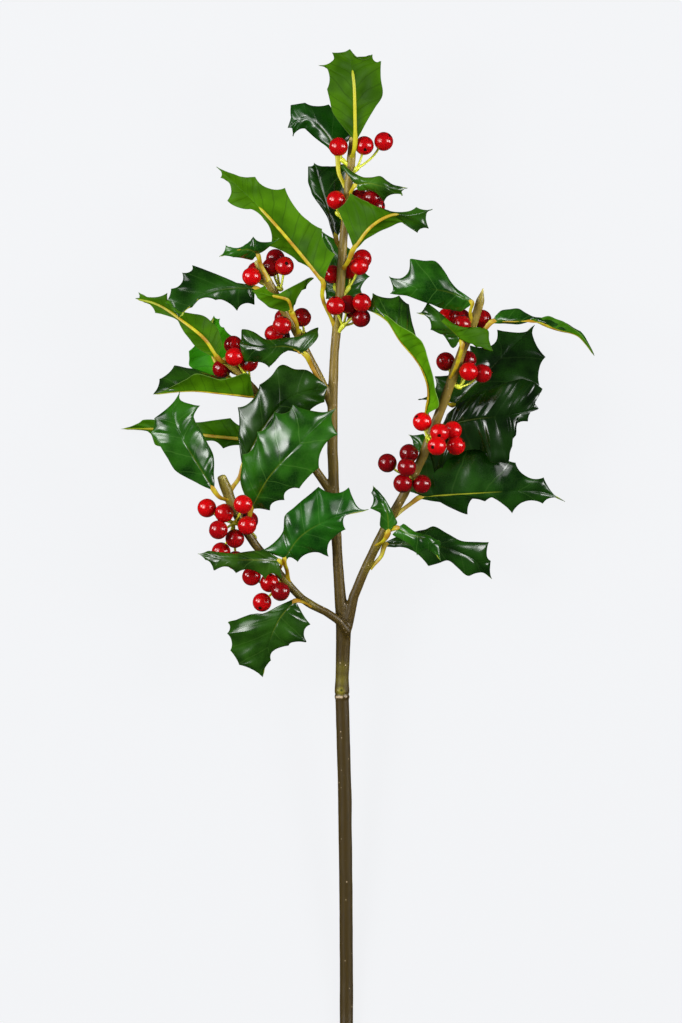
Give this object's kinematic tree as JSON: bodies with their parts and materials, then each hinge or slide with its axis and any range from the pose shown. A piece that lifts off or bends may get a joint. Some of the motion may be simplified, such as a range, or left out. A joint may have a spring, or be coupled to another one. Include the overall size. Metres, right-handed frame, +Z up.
{
  "type": "holly sprig",
  "caption": "Cut branching stem of holly with spiny waved leaves and bunches of red berries on short stalks, lying on its side.",
  "frame": {"origin": "on the surface, under the middle of the flat resting spot of the cut stem", "axes": "+X across the sprig, +Y along the stem from its cut end to its tip, +Z up from the surface"},
  "size_m": [0.2386, 0.5004, 0.0716],
  "materials": {
    "bark": "smooth olive-brown young bark",
    "leaf": "glossy waxy dark green leaf",
    "berry": "glossy smooth red berry on a green stalk"
  },
  "bodies": {
    "root": {"stem": "bark", "leaf_top": "leaf", "leaf_top_left": "leaf", "leaf_crown_back": "leaf", "leaf_crown_right": "leaf", "leaf_front": "leaf", "leaf_behind": "leaf", "leaf_long": "leaf", "leaf_tip_upper_left": "leaf", "leaf_left_dark": "leaf", "leaf_hood": "leaf", "leaf_left_lower": "leaf", "leaf_far_left": "leaf", "leaf_pale": "leaf", "leaf_left_folded": "leaf", "leaf_low_left_gloss": "leaf", "leaf_low_left_flat": "leaf", "leaf_heart_back": "leaf", "leaf_heart_front": "leaf", "leaf_wave_right": "leaf", "leaf_wave_left": "leaf", "leaf_lowest": "leaf", "leaf_right_top": "leaf", "leaf_right_hood": "leaf", "leaf_right_long": "leaf", "leaf_right_back": "leaf", "leaf_right_big": "leaf", "leaf_right_low": "leaf", "leaf_twisted": "leaf", "leaf_fork_left": "leaf", "leaf_fork_right": "leaf", "leaf_right_lowest": "leaf", "leaf_small": "leaf", "berries_top": "berry", "berries_top_left": "berry", "berries_crown": "berry", "berries_crown_left": "berry", "berries_upper": "berry", "berries_upper_left": "berry", "berries_middle": "berry", "berries_tip_left": "berry", "berries_tip_left_low": "berry", "berries_left_inner": "berry", "berries_left_outer": "berry", "berries_far_left": "berry", "berries_far_left_behind": "berry", "berries_low_left": "berry", "berries_low_left_behind": "berry", "berries_lowest": "berry", "berries_right_top": "berry", "berries_right_upper": "berry", "berries_right_mid": "berry", "berries_right_low": "berry"}
  },
  "joints": []
}
